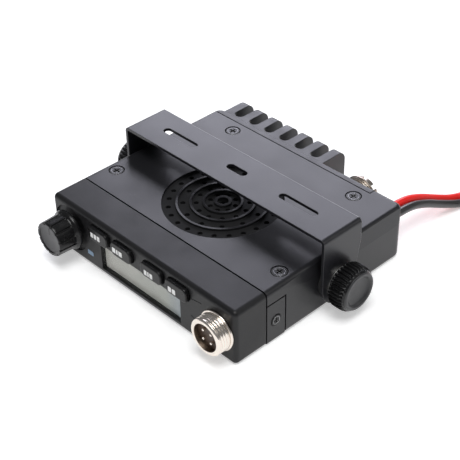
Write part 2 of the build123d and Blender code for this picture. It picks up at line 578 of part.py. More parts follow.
def main_board():
    board = block(-46.4, 46.4, -33, 35.4, BOARD_Z0, BOARD_Z1)
    for x, y in COVER_SCREWS:
        board -= rod_z(3.5, BOARD_Z0 - 1, BOARD_Z1 + 1, x, y)
    for side in (-1, 1):
        notch = sorted((side * 41.5, side * 50))
        board -= block(*notch, -5, 5, BOARD_Z0 - 1, BOARD_Z1 + 1)
        tongue = sorted((side * 44.0, side * 50))
        board -= block(*tongue, -36, -25.6, BOARD_Z0 - 1, BOARD_Z1 + 1)
    for x, y in BOARD_SCREWS:
        board -= rod_z(1.35, BOARD_Z0 - 1, BOARD_Z1 + 1, x, y)
    return board - block(ANTENNA_X - 9.2, ANTENNA_X + 9.2, 31, 36, BOARD_Z0 - 1, BOARD_Z1 + 1)


def board_screw(x, y):
    head = rod_z(2.3, BOARD_Z1, BOARD_Z1 + 1.5, x, y)
    head = fillet(head.faces().sort_by(Axis.Z)[-1].edges(), 0.5)
    shank = rod_z(1.25, BOARD_Z0 - 2.2, BOARD_Z1, x, y)
    return head + shank - cross_recess(x, y, BOARD_Z1 + 1.5, 0.8, 2.2, 0.6)


def front_board():
    return block(-48, 34.5, BOARD_FRONT_Y, BOARD_FRONT_Y + 1.6, 2.2, 21.8)


def board_ribbon():
    """Flat flexible cable from the back of the front board down to the main board."""
    y0 = BOARD_FRONT_Y + 1.6
    middle_line = [(y0, 9.0), (y0 + 3.0, 9.0), (y0 + 7.0, 7.3), (y0 + 12.0, 7.3)]
    lower = [(0, y, z - 0.15) for y, z in middle_line]
    upper = [(0, y, z + 0.15) for y, z in reversed(middle_line)]
    return extrude(make_face(Polyline(*lower, *upper, close=True)), 12, both=True)


def output_transistor():
    """Flat package screwed to the rear wall, its three legs bent down to the board."""
    x, y1 = TRANSISTOR_X, WALL_Y
    body = block(x - 5, x + 5, y1 - 4.4, y1 - 1.3, 9.5, 15.0)
    tab = block(x - 5, x + 5, y1 - 1.3, y1, 9.5, 21.0) - rod_y(1.6, 30, 40, x, TRANSISTOR_SCREW_Z)
    legs = [
        block(x + s - 0.4, x + s + 0.4, y1 - 3.2, y1 - 2.7, BOARD_Z1, 9.5) for s in (-2.54, 0, 2.54)
    ]
    screw = rod_y(1.25, y1 - 1.3, 38.4, x, TRANSISTOR_SCREW_Z)
    screw += rod_y(2.4, y1 - 2.9, y1 - 1.3, x, TRANSISTOR_SCREW_Z)
    return body + tab + legs[0] + legs[1] + legs[2], screw


def can(r, height, x, y):
    """An upright electrolytic capacitor with a rolled top edge."""
    body = rod_z(r, BOARD_Z1, BOARD_Z1 + height, x, y)
    return fillet(body.faces().sort_by(Axis.Z)[-1].edges(), 0.5)


def coil(x, y):
    """Air-wound coil lying on the board."""
    outer = rod_x(2.4, x - 3.2, x + 3.2, y, BOARD_Z1 + 2.4)
    return outer - rod_x(1.5, x - 4, x + 4, y, BOARD_Z1 + 2.4)


def chip(x, y, w, d, h):
    return block(x - w / 2, x + w / 2, y - d / 2, y + d / 2, BOARD_Z1, BOARD_Z1 + h)


def components():
    large = [can(4.0, 11.5, -37.5, y) for y in (-14, 11)]
    small = [can(3.2, 9.0, 36.5, y) for y in (-14, 12)]
    save("capacitors", group(large + small))
    filter_coils = [coil(x, 20.5) for x in (22.0, 30.5)]
    output_coils = [coil(x, 28.5) for x in (-6.5, 6.0)]
    save("coils", group(filter_coils + output_coils))
    save("board_chips", group([
        chip(0, -20.5, 10, 8, 1.4), chip(-26, -26, 7, 9, 1.6), chip(25, -26, 9, 6, 1.6),
        chip(0, -8, 12, 8, 1.4), chip(33, 2, 4.5, 9, 3.4),
    ]))
    shield = block(-32, -12, 12, 27, BOARD_Z1, BOARD_Z1 + 4.5)
    shield = fillet(shield.edges().filter_by(Axis.Z), 1.0)
    save("shield_can", shield - block(-31.6, -12.4, 12.4, 26.6, BOARD_Z1 - 1, BOARD_Z1 + 4.1))


# ---- supply leads -------------------------------------------------------------------------------
# Both leads leave the grommet side by side, fall to the surface and lie on it as far as the
# connector. Points were chosen by hand; the tube's runs are joined by the largest arcs that fit.
FLOOR_Z = WIRE_D / 2
RED_ROUTE = [
    (41.0, 42.0, 15.0), (41.0, 51.5, 15.0), (41.3, 62.0, 11.3), (42.4, 72.0, 6.2), (44.2, 82.5, FLOOR_Z),
    (47.5, 94.0, FLOOR_Z), (54.0, 104.5, FLOOR_Z), (64.0, 112.0, FLOOR_Z), (77.0, 116.0, FLOOR_Z),
    (91.0, 115.6, FLOOR_Z), (106.0, 111.6, FLOOR_Z), (120.0, 108.2, FLOOR_Z), (133.0, 108.2, FLOOR_Z),
]
BLACK_ROUTE = [
    (44.8, 42.0, 14.4), (44.8, 51.0, 14.4), (45.1, 61.5, 10.6), (46.3, 71.5, 5.6), (48.3, 81.5, FLOOR_Z),
    (52.0, 91.5, FLOOR_Z), (57.5, 101.0, FLOOR_Z), (66.0, 107.0, FLOOR_Z), (77.4, 110.0, FLOOR_Z),
    (90.4, 109.4, FLOOR_Z), (105.0, 106.3, FLOOR_Z), (119.6, 103.4, FLOOR_Z), (133.0, 103.4, FLOOR_Z),
]


def lead(name, route):
    """A lead's tube: straight runs and tangent arcs, each arc as large as its two runs allow."""
    points = [Vector(*p) for p in route]
    radii = []
    for before, here, after in zip(points, points[1:], points[2:]):
        turn = math.radians((here - before).get_angle(after - here))
        shorter = min((here - before).length, (after - here).length)
        radii.append(0.45 * shorter / math.tan(turn / 2))
    path = FilletPolyline(*points, radius=radii)
    start = Plane(origin=points[0], z_dir=points[1] - points[0])
    tube = sweep(start * Circle(WIRE_D / 2), path=path)
    expected = math.pi * (WIRE_D / 2) ** 2 * path.length
    print(f"{name}: length {path.length:.1f}, smallest radius {min(radii):.1f},")
    print(f"  radii {[round(r) for r in radii]}, volume {tube.volume:.1f}, section x length {expected:.1f}")
    return tube


def supply_connector():
    """Two-pole connector at the leads' end, lying on the surface, and its two flat contacts."""
    x0, middle = RED_ROUTE[-1][0], (RED_ROUTE[-1][1] + BLACK_ROUTE[-1][1]) / 2
    housing = block(x0, x0 + 9, middle - 7, middle + 7, 0, 6.6)
    housing = fillet(housing.edges().filter_by(Axis.X), 1.2)
    nose = block(x0 + 9, x0 + 20, middle - 5.8, middle + 5.8, 0.6, 6.0)
    housing += fillet(nose.edges().filter_by(Axis.X), 0.8)
    housing -= block(x0 + 13, x0 + 21, middle - 4.6, middle + 4.6, 1.2, 5.4)
    contacts = [
        block(x0 + 12, x0 + 18.8, middle + 1.2, middle + 4.0, 2.8, 3.8),
        block(x0 + 12, x0 + 18.8, middle - 3.0, middle - 1.4, 2.0, 4.6),
    ]
    for contact in contacts:
        housing -= contact
    save("supply_connector", housing)
    save("supply_contacts", group(contacts))


# ---- all pieces ---------------------------------------------------------------------------------
def main():
    os.makedirs("parts", exist_ok=True)
    save("front_bezel", front_bezel())
    display()
    for number, x in enumerate(KEY_XS, start=1):
        save(f"key_{number}", key(x))
        save(f"switch_stem_{number}", switch_stem(x))
    save("tact_switches", tact_switches())
    save("front_knob", front_knob())
    save("encoder_shaft", encoder_shaft())
    save("encoder_rotor", encoder_rotor())
    save("encoder_body", encoder_body())
    mic_socket()

    save("cover_shell", cover_shell())
    save("cover_screws", group([countersunk_screw(x, y, BODY_H - 0.15, 8.0) for x, y in COVER_SCREWS]))
    save("base_tray", base_tray())
    save("ear_screws", both_sides(ear_screw()))
    save("chassis", chassis())

    save("bracket", bracket())
    for name, side in (("left", -1), ("right", 1)):
        save(f"thumb_knob_{name}", along_x(thumb_knob(), side))
        save(f"thumb_stud_{name}", along_x(thumb_stud(), side))
        washer = ring(STUD_R + 0.1, 6.5, BRACKET_HALF_W + FIT, THUMB_X0)
        save(f"thumb_washer_{name}", along_x(washer, side))
    pad = ring(4.4, 8.0, HALF_W, BRACKET_HALF_W - BRACKET_T - FIT)
    save("pivot_pads", group([along_x(pad, -1), along_x(pad, 1)]))

    antenna_socket()
    save("speaker_jack", speaker_jack())
    save("supply_grommet", supply_grommet())
    speaker()

    save("main_board", main_board())
    save("board_screws", group([board_screw(x, y) for x, y in BOARD_SCREWS]))
    save("front_board", front_board())
    save("board_ribbon", board_ribbon())
    save("output_transistor", group(output_transistor()))
    components()

    save("supply_lead_red", lead("red lead", RED_ROUTE))
    save("supply_lead_black", lead("black lead", BLACK_ROUTE))
    supply_connector()


main()
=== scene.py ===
import math

import bmesh
import bpy
from mathutils import Matrix, Vector


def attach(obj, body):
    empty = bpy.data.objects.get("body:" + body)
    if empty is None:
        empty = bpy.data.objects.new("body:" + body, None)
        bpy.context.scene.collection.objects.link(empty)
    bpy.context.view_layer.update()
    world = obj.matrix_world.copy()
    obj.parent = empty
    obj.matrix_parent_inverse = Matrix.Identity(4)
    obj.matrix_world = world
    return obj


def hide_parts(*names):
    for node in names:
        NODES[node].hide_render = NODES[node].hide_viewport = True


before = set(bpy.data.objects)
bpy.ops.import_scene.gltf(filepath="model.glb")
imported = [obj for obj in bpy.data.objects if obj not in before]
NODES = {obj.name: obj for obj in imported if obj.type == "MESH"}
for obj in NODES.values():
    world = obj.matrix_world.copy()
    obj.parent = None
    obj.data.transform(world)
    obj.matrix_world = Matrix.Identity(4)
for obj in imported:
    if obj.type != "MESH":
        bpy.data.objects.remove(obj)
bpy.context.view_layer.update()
MM = 0.001

# Places of the main faces and axes in the shared frame, in millimetres.
FRONT_Y = -50.0
COVER_TOP = 24.0
HALF_W = 51.0
PIVOT_Z = 12.0
BRACKET_TOP = 34.5
GRILLE_Y, GRILLE_R = -7.0, 23.7
COVER_SCREWS = [(-45.2, -22.4), (45.2, -22.4), (-33.4, 30.5), (33.4, 30.5)]
EAR_SCREW_Y, EAR_SCREW_Z = -30.0, 9.5


# ---- camera -------------------------------------------------------------------------------------
def make_camera():
    """Camera at the viewing angle of the object's picture, slightly rolled."""
    target = Vector((0, 0, COVER_TOP / 2 * MM))
    azimuth, elevation, roll = math.radians(46.46), math.radians(36.51), math.radians(-0.99)
    distance = 464.94 * MM
    back = Vector((
        math.sin(azimuth) * math.cos(elevation),
        -math.cos(azimuth) * math.cos(elevation),
        math.sin(elevation),
    ))
    right = Vector((math.cos(azimuth), math.sin(azimuth), 0))
    up = back.cross(right)
    rolled_right = right * math.cos(roll) + up * math.sin(roll)
    rolled_up = up * math.cos(roll) - right * math.sin(roll)
    data = bpy.data.cameras.new("camera")
    data.sensor_width = 36
    data.lens = 92.68
    data.shift_x, data.shift_y = -0.0140, -0.0260
    data.clip_start, data.clip_end = 0.02, 20
    camera = bpy.data.objects.new("camera", data)
    turn = Matrix((rolled_right, rolled_up, back)).transposed()
    camera.matrix_world = Matrix.Translation(target + back * distance) @ turn.to_4x4()
    bpy.context.scene.collection.objects.link(camera)
    bpy.context.scene.camera = camera


make_camera()


# ---- supply leads -------------------------------------------------------------------------------
WIRE_D = 3.4
FLOOR_Z = WIRE_D / 2
RED_ROUTE = [
    (41.0, 42.0, 15.0), (41.0, 51.5, 15.0), (41.3, 62.0, 11.3), (42.4, 72.0, 6.2), (44.2, 82.5, FLOOR_Z),
    (47.5, 94.0, FLOOR_Z), (54.0, 104.5, FLOOR_Z), (64.0, 112.0, FLOOR_Z), (77.0, 116.0, FLOOR_Z),
    (91.0, 115.6, FLOOR_Z), (106.0, 111.6, FLOOR_Z), (120.0, 108.2, FLOOR_Z), (133.0, 108.2, FLOOR_Z),
]
BLACK_ROUTE = [
    (44.8, 42.0, 14.4), (44.8, 51.0, 14.4), (45.1, 61.5, 10.6), (46.3, 71.5, 5.6), (48.3, 81.5, FLOOR_Z),
    (52.0, 91.5, FLOOR_Z), (57.5, 101.0, FLOOR_Z), (66.0, 107.0, FLOOR_Z), (77.4, 110.0, FLOOR_Z),
    (90.4, 109.4, FLOOR_Z), (105.0, 106.3, FLOOR_Z), (119.6, 103.4, FLOOR_Z), (133.0, 103.4, FLOOR_Z),
]


def make_lead(name, route, node):
    """A lead laid along its route, which stands for its CAD solid."""
    curve = bpy.data.curves.new(name, "CURVE")
    curve.dimensions = "3D"
    curve.bevel_depth = 1.0  # times each point's radius
    curve.bevel_resolution = 8
    curve.resolution_u = 12
    curve.use_fill_caps = True
    spline = curve.splines.new("NURBS")
    spline.points.add(len(route) - 1)
    for point, place in zip(spline.points, route):
        point.co = (*(c * MM for c in place), 1)
        point.radius = WIRE_D / 2 * MM
    spline.order_u = 3
    spline.use_endpoint_u = True
    lead = bpy.data.objects.new(name, curve)
    bpy.context.scene.collection.objects.link(lead)
    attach(lead, "housing")
    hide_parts(node)
    return lead


red_lead = make_lead("lead_red", RED_ROUTE, "supply_lead_red")
black_lead = make_lead("lead_black", BLACK_ROUTE, "supply_lead_black")


# ---- material helpers ---------------------------------------------------------------------------
class Graph:
    """A short way to write a material's nodes."""

    def __init__(self, name):
        self.material = bpy.data.materials.new(name)
        self.material.use_nodes = True
        self.tree = self.material.node_tree
        self.shader = self.tree.nodes["Principled BSDF"]
        self.place = self.node("ShaderNodeTexCoord").outputs["Object"]

    def node(self, kind, **settings):
        made = self.tree.nodes.new(kind)
        for key, value in settings.items():
            setattr(made, key, value)
        return made

    def link(self, source, socket):
        self.tree.links.new(source, socket)

    def put(self, socket, value):
        if isinstance(value, bpy.types.NodeSocket):
            self.link(value, socket)
        else:
            socket.default_value = value

    def set(self, name, value):
        self.put(self.shader.inputs[name], value)

    def stretched(self, x=1, y=1, z=1):
        mapping = self.node("ShaderNodeMapping")
        self.link(self.place, mapping.inputs["Vector"])
        mapping.inputs["Scale"].default_value = (x, y, z)
        return mapping.outputs["Vector"]

    def noise(self, size_mm, detail=3, roughness=0.55, place=None):
        made = self.node("ShaderNodeTexNoise")
        self.link(place or self.place, made.inputs["Vector"])
        made.inputs["Scale"].default_value = 1 / (size_mm * MM)
        made.inputs["Detail"].default_value = detail
        made.inputs["Roughness"].default_value = roughness
        return made.outputs["Fac"]

    def cells(self, size_mm, feature="F1", place=None):
        made = self.node("ShaderNodeTexVoronoi", feature=feature)
        self.link(place or self.place, made.inputs["Vector"])
        made.inputs["Scale"].default_value = 1 / (size_mm * MM)
        return made.outputs["Distance"]

    def remap(self, value, low, high, to_low=0.0, to_high=1.0):
        made = self.node("ShaderNodeMapRange")
        self.link(value, made.inputs["Value"])
        made.inputs["From Min"].default_value = low
        made.inputs["From Max"].default_value = high
        made.inputs["To Min"].default_value = to_low
        made.inputs["To Max"].default_value = to_high
        return made.outputs["Result"]

    def math(self, operation, a, b=0.0):
        made = self.node("ShaderNodeMath", operation=operation)
        self.put(made.inputs[0], a)
        self.put(made.inputs[1], b)
        return made.outputs[0]

    def mix(self, fac, a, b):
        made = self.node("ShaderNodeMix", data_type="RGBA")
        self.put(made.inputs[0], fac)
        self.put(made.inputs[6], a)
        self.put(made.inputs[7], b)
        return made.outputs[2]

    def axis(self, name):
        parts = self.node("ShaderNodeSeparateXYZ")
        self.link(self.place, parts.inputs[0])
        return parts.outputs[name]

    def rounded_edges(self, radius_mm):
        """A normal that rolls over edges, and a mask that is 1 on them."""
        bevel = self.node("ShaderNodeBevel", samples=6)
        bevel.inputs["Radius"].default_value = radius_mm * MM
        geometry = self.node("ShaderNodeNewGeometry")
        facing = self.node("ShaderNodeVectorMath", operation="DOT_PRODUCT")
        self.link(bevel.outputs[0], facing.inputs[0])
        self.link(geometry.outputs["Normal"], facing.inputs[1])
        mask = self.remap(facing.outputs["Value"], 0.995, 0.80)
        return bevel.outputs[0], mask

    def bump(self, height, depth_mm, normal=None):
        made = self.node("ShaderNodeBump")
        self.link(height, made.inputs["Height"])
        made.inputs["Strength"].default_value = 1.0
        made.inputs["Distance"].default_value = depth_mm * MM
        if normal is not None:
            self.link(normal, made.inputs["Normal"])
        return made.outputs[0]


DUST = (0.5, 0.5, 0.5, 1)
METAL_EDGE_MM = 0.15


def shade(colour, factor):
    """A colour made lighter or darker."""
    return (*(min(1.0, c * factor) for c in colour[:3]), 1)


def coat_material(
    name, colour, roughness, *, metallic=0.0, edge_mm=0.25, edge_wear_and_highlight_colour=None, edge_share=0.5,
    grain_mm=0.4, grain_depth=0.012, mottle_mm=9.0, mottle=0.12, rough_spread=0.07,
    dust=0.0, specular=0.5, scratches=0.0, coat=0.0, edge_mark_from_y=None, recess_below=None,
):
    """Painted or moulded surface: fine grain, slow variation, lighter edges, a little dust.

    The lighter edges are rubbed paint on some materials and painted highlight on others. The y limit
    keeps them behind that y. `recess_below` darkens what lies under that height inside the
    loudspeaker grille with painted shade, and dulls it."""
    g = Graph(name)
    colour = (*colour, 1)
    slow = g.noise(mottle_mm, detail=4)
    fine = g.noise(grain_mm, detail=2, roughness=0.6)
    spread = g.remap(slow, 0.3, 0.7)
    paint = g.mix(spread, shade(colour, 1 - mottle), shade(colour, 1 + mottle))
    paint = g.mix(g.remap(fine, 0.35, 0.75, 0, 0.35), paint, shade(colour, 1.5))
    rough = g.remap(slow, 0.25, 0.75, roughness - rough_spread, roughness + rough_spread)
    normal = None
    # Lighter edges: rubbed paint on most materials; painted highlight on the bracket, knobs and black
    # screws, and partly on the cover.
    if edge_mm:
        normal, on_edge = g.rounded_edges(edge_mm)
        patchy = g.remap(g.noise(2.2, detail=4), 0.42, 0.62, 0.25, 1.0)
        edge_wear_and_highlight = g.math("MULTIPLY", g.math("MULTIPLY", on_edge, patchy), edge_share)
        if edge_mark_from_y is not None:
            rear = g.remap(g.axis("Y"), (edge_mark_from_y - 1) * MM, edge_mark_from_y * MM, 0.15, 1.0)
            edge_wear_and_highlight = g.math("MULTIPLY", edge_wear_and_highlight, rear)
        paint = g.mix(edge_wear_and_highlight, paint, (*(edge_wear_and_highlight_colour or [c * 2.2 for c in colour[:3]]), 1))
    if scratches:
        lines = g.noise(0.5, detail=2, place=g.stretched(1.0, 0.04, 1.0))
        rubbed = g.remap(lines, 0.66, 0.72, 0, scratches)
        paint = g.mix(rubbed, paint, shade(colour, 2.4))
        rough = g.math("SUBTRACT", rough, g.math("MULTIPLY", rubbed, 0.1))
    if dust:
        specks = g.remap(g.cells(2.6), 0.0, 0.055, 1, 0)
        sparse = g.remap(g.noise(14, detail=2), 0.5, 0.62)
        share = g.math("MULTIPLY", g.math("MULTIPLY", specks, sparse), dust)
        paint = g.mix(share, paint, DUST)
    # Painted shade: below that height inside the grille the colour is halved; the added roughness makes
    # it duller.
    if recess_below is not None:
        low = g.remap(g.axis("Z"), (recess_below - 0.25) * MM, (recess_below - 0.05) * MM, 1, 0)
        distance = g.node("ShaderNodeVectorMath", operation="DISTANCE")
        g.link(g.stretched(1, 1, 0), distance.inputs[0])
        distance.inputs[1].default_value = (0, GRILLE_Y * MM, 0)
        inside = g.remap(distance.outputs["Value"], (GRILLE_R - 0.2) * MM, (GRILLE_R + 0.2) * MM, 1, 0)
        recess_shade_and_dull = g.math("MULTIPLY", low, inside)
        paint = g.mix(recess_shade_and_dull, paint, shade(colour, 0.5))
        rough = g.math("ADD", rough, g.math("MULTIPLY", recess_shade_and_dull, 0.45))
    g.set("Base Color", paint)
    g.set("Roughness", rough)
    g.set("Metallic", metallic)
    g.set("Specular IOR Level", specular)
    if coat:
        g.set("Coat Weight", coat)
        g.set("Coat Roughness", 0.15)
    g.set("Normal", g.bump(fine, grain_depth, normal))
    return g.material


# ---- materials ----------------------------------------------------------------------------------
# The lighter edge colour is partly rubbed paint and partly painted highlight on the grille ribs; the
# grille grooves get painted shade.
COVER_PAINT = coat_material(
    "satin_black_paint", (0.012, 0.012, 0.014), 0.34, edge_mm=0.15, edge_wear_and_highlight_colour=(0.06, 0.06, 0.065),
    edge_share=0.35, grain_mm=0.32, grain_depth=0.006, mottle_mm=16, mottle=0.10, rough_spread=0.045,
    dust=0.35, scratches=0.10, specular=0.4, recess_below=COVER_TOP,
)
# The light edge colour, kept to the rear top edge, is painted highlight.
BRACKET_PAINT = coat_material(
    "bracket_powder_coat", (0.013, 0.013, 0.016), 0.34, edge_mm=0.3, edge_wear_and_highlight_colour=(0.55, 0.55, 0.57),
    edge_share=0.9, edge_mark_from_y=10.4, grain_mm=0.36, grain_depth=0.008, mottle_mm=20, mottle=0.10,
    rough_spread=0.04, dust=0.3, scratches=0.16, specular=0.45,
)
BEZEL_PLASTIC = coat_material(
    "bezel_moulding", (0.010, 0.010, 0.011), 0.42, edge_mm=0.3, edge_wear_and_highlight_colour=(0.03, 0.03, 0.03),
    edge_share=0.25, grain_mm=0.28, grain_depth=0.012, mottle_mm=14, mottle=0.08, dust=0.2,
    specular=0.32,
)
CASTING = coat_material(
    "coated_casting", (0.013, 0.013, 0.015), 0.40, edge_mm=0.4, edge_wear_and_highlight_colour=(0.10, 0.10, 0.105),
    edge_share=0.5, grain_mm=0.55, grain_depth=0.03, mottle_mm=7, mottle=0.18, dust=0.25,
)
KEY_PLASTIC = coat_material(
    "key_moulding", (0.006, 0.006, 0.0065), 0.30, edge_mm=0.3, edge_wear_and_highlight_colour=(0.015, 0.015, 0.015),
    edge_share=0.3, grain_mm=0.22, grain_depth=0.006, mottle_mm=4, mottle=0.15, specular=0.3,
)
# The light edge colour is painted highlight: glints along the rib and notch edges of the knobs.
KNOB_PLASTIC = coat_material(
    "knob_moulding", (0.006, 0.006, 0.0065), 0.24, edge_mm=0.15, edge_wear_and_highlight_colour=(0.16, 0.16, 0.16),
    edge_share=0.6, grain_mm=0.25, grain_depth=0.005, mottle_mm=5, mottle=0.12, specular=0.35,
)
KNOB_FACE = coat_material(
    "knob_face", (0.030, 0.030, 0.032), 0.42, edge_mm=0.2, edge_wear_and_highlight_colour=(0.07, 0.07, 0.07),
    edge_share=0.4, grain_mm=0.2, grain_depth=0.008, mottle_mm=3, mottle=0.15, scratches=0.2,
)
# The light edge colour is painted highlight on the screw heads' edges.
BLACK_STEEL = coat_material(
    "black_oxide_steel", (0.008, 0.008, 0.009), 0.38, metallic=0.3, edge_mm=0.28,
    edge_wear_and_highlight_colour=(0.75, 0.75, 0.75), edge_share=0.8, grain_mm=0.2, grain_depth=0.006, mottle_mm=1.5,
    mottle=0.3,
)
RUBBER = coat_material(
    "black_rubber", (0.018, 0.018, 0.018), 0.62, edge_mm=0.2, edge_wear_and_highlight_colour=(0.04, 0.04, 0.04),
    grain_mm=0.3, grain_depth=0.02, mottle_mm=4, mottle=0.15, dust=0.3,
)
PRINT_WHITE = coat_material(
    "pad_print_white", (0.86, 0.86, 0.85), 0.5, edge_mm=0, grain_mm=0.18, grain_depth=0.004,
    mottle_mm=0.8, mottle=0.05,
)
PRINT_BLUE = coat_material(
    "pad_print_blue", (0.20, 0.30, 0.42), 0.45, edge_mm=0, grain_mm=0.18, grain_depth=0.004,
    mottle_mm=0.9, mottle=0.12,
)
# Light grey for the thin line on the bracket's rear top edge: painted highlight.
EDGE_HIGHLIGHT_STRIP = coat_material(
    "painted_edge_highlight", (0.20, 0.20, 0.21), 0.4, edge_mm=0, grain_mm=0.3, grain_depth=0.004, mottle_mm=5,
    mottle=0.35,
)
WIRE_RED = coat_material(
    "red_insulation", (0.95, 0.018, 0.014), 0.38, edge_mm=0, grain_mm=0.6, grain_depth=0.02,
    mottle_mm=6, mottle=0.08, specular=0.4,
)
WIRE_BLACK = coat_material(
    "black_insulation", (0.022, 0.022, 0.022), 0.34, edge_mm=0, grain_mm=0.6, grain_depth=0.02,
    mottle_mm=6, mottle=0.12, specular=0.55, coat=0.2,
)
NYLON = coat_material(
    "natural_nylon", (0.72, 0.69, 0.60), 0.42, edge_mm=0.25, edge_wear_and_highlight_colour=(0.85, 0.83, 0.76),
    grain_mm=0.4, grain_depth=0.01, mottle_mm=5, mottle=0.06,
)
BROWN_INSULATOR = coat_material(
    "phenolic_insulator", (0.075, 0.045, 0.030), 0.42, edge_mm=0.1, grain_mm=0.3, grain_depth=0.01,
    mottle_mm=1.2, mottle=0.25,
)
WHITE_INSULATOR = coat_material(
    "white_insulator", (0.80, 0.79, 0.75), 0.4, edge_mm=0.1, edge_wear_and_highlight_colour=(0.9, 0.9, 0.88),
    grain_mm=0.3, grain_depth=0.006, mottle_mm=1.5, mottle=0.05,
)
PACKAGE = coat_material(
    "moulded_package", (0.025, 0.025, 0.026), 0.5, edge_mm=0.15, grain_mm=0.3, grain_depth=0.01,
    mottle_mm=3, mottle=0.15,
)
SLEEVE = coat_material(
    "capacitor_sleeve", (0.03, 0.045, 0.12), 0.3, edge_mm=0.2, edge_wear_and_highlight_colour=(0.2, 0.22, 0.3),
    grain_mm=0.5, grain_depth=0.01, mottle_mm=2, mottle=0.15,
)
WHITE_FRAME = coat_material(
    "white_diffuser", (0.80, 0.80, 0.77), 0.5, edge_mm=0.15, edge_wear_and_highlight_colour=(0.9, 0.9, 0.9),
    grain_mm=0.3, grain_depth=0.006, mottle_mm=4, mottle=0.04,
)
RIBBON = coat_material(
    "ribbon_cable", (0.72, 0.71, 0.64), 0.45, edge_mm=0.1, edge_wear_and_highlight_colour=(0.8, 0.8, 0.75),
    grain_mm=0.4, grain_depth=0.008, mottle_mm=3, mottle=0.06,
)
CONE_PAPER = coat_material(
    "pressed_paper", (0.030, 0.030, 0.032), 0.8, edge_mm=0.2, grain_mm=0.7, grain_depth=0.08,
    mottle_mm=1.5, mottle=0.35, specular=0.25,
)


def metal(
    name, colour, roughness, *, streak=(1, 1, 1), tarnish=(0.5, 0.4, 0.3), tarnish_share=0.3,
    grain_mm=0.35, depth=0.006,
):
    """Plated or bare metal with fine tool marks and a little tarnish in patches."""
    g = Graph(name)
    colour = (*colour, 1)
    patches = g.remap(g.noise(3.0, detail=5, roughness=0.65), 0.45, 0.72, 0, tarnish_share)
    fine = g.noise(grain_mm, detail=3, place=g.stretched(*streak))
    base = g.mix(g.remap(fine, 0.3, 0.7), shade(colour, 0.86), shade(colour, 1.08))
    normal, on_edge = g.rounded_edges(METAL_EDGE_MM)
    base = g.mix(g.math("MULTIPLY", on_edge, 0.4), base, shade(colour, 1.25))
    g.set("Base Color", g.mix(patches, base, (*tarnish, 1)))
    g.set("Metallic", 1.0)
    rough = g.remap(fine, 0.3, 0.7, roughness * 0.75, roughness * 1.3)
    g.set("Roughness", g.math("ADD", rough, g.math("MULTIPLY", patches, 0.35)))
    g.set("Normal", g.bump(fine, depth, normal))
    return g.material


NICKEL = metal(
    "satin_nickel", (0.86, 0.79, 0.72), 0.20, streak=(1, 8, 1), tarnish=(0.50, 0.40, 0.32),
    tarnish_share=0.12, depth=0.002,
)
DULL_BORE = metal("dull_brass_bore", (0.16, 0.12, 0.09), 0.36, tarnish=(0.06, 0.04, 0.03))
# Light metal for the screw head rims: partly rubbed metal, partly painted highlight.
RUBBED_AND_HIGHLIGHT_STEEL = metal(
    "screw_edge_rubbed_and_highlight", (0.32, 0.32, 0.33), 0.30, tarnish=(0.08, 0.08, 0.08), tarnish_share=0.5,
)
AGED_NICKEL = metal(
    "aged_nickel", (0.56, 0.50, 0.44), 0.26, streak=(1, 8, 1), tarnish=(0.26, 0.16, 0.10),
    tarnish_share=0.6,
)
GOLD = metal("gold_flash", (0.83, 0.63, 0.28), 0.22, tarnish=(0.45, 0.3, 0.12))
ZINC = metal("zinc_plate", (0.62, 0.62, 0.60), 0.32, streak=(8, 1, 1), tarnish=(0.4, 0.4, 0.36))
SPEAKER_STEEL = metal("speaker_pressing", (0.42, 0.42, 0.43), 0.38, tarnish=(0.3, 0.3, 0.28))
FERRITE = metal("ferrite", (0.12, 0.12, 0.13), 0.6, tarnish=(0.08, 0.08, 0.08), grain_mm=0.5, depth=0.03)
TIN = metal("tinned_sheet", (0.70, 0.70, 0.68), 0.3, tarnish=(0.5, 0.5, 0.48))
COPPER = metal("enamelled_copper", (0.72, 0.30, 0.13), 0.3, streak=(6, 1, 1), tarnish=(0.35, 0.14, 0.06))


def board_material():
    """Green solder mask over copper tracks, with tinned pads."""
    g = Graph("circuit_board")
    track_cells = g.cells(2.8, feature="DISTANCE_TO_EDGE", place=g.stretched(1, 0.4, 1))
    tracks = g.remap(track_cells, 0.06, 0.09, 1, 0)
    pads = g.remap(g.cells(2.2), 0.12, 0.16, 1, 0)
    mask = g.mix(tracks, (0.010, 0.070, 0.025, 1), (0.03, 0.15, 0.05, 1))
    g.set("Base Color", g.mix(pads, mask, (0.65, 0.62, 0.55, 1)))
    g.set("Metallic", pads)
    g.set("Roughness", g.remap(g.noise(2, detail=3), 0.3, 0.7, 0.25, 0.42))
    g.set("Normal", g.bump(g.math("ADD", tracks, pads), 0.03))
    return g.material


def mesh_cloth_material():
    """Woven dust cloth: two crossed sets of threads."""
    g = Graph("dust_cloth")
    thread_gap = 0.5 * MM
    threads = []
    for axis in ("X", "Y"):
        wave = g.math("SINE", g.math("MULTIPLY", g.axis(axis), 2 * math.pi / thread_gap))
        threads.append(g.math("ABSOLUTE", wave))
    weave = g.math("MAXIMUM", *threads)
    hollow, crest = (0.003, 0.003, 0.003, 1), (0.03, 0.03, 0.032, 1)
    g.set("Base Color", g.mix(g.remap(weave, 0.4, 1.0), hollow, crest))
    g.set("Roughness", g.remap(g.noise(3), 0.3, 0.7, 0.75, 0.95))
    g.set("Normal", g.bump(weave, 0.06))
    return g.material


def window_material():
    """Thin clear window: mostly see-through, with a faint smear on its gloss."""
    g = Graph("clear_window")
    smear = g.noise(8, detail=4, place=g.stretched(1, 1, 3))
    g.set("Base Color", g.mix(g.remap(smear, 0.4, 0.7), (0.10, 0.11, 0.10, 1), (0.16, 0.17, 0.16, 1)))
    g.set("Roughness", g.remap(smear, 0.3, 0.7, 0.03, 0.12))
    g.set("Alpha", 0.14)
    g.set("Specular IOR Level", 0.5)
    return g.material


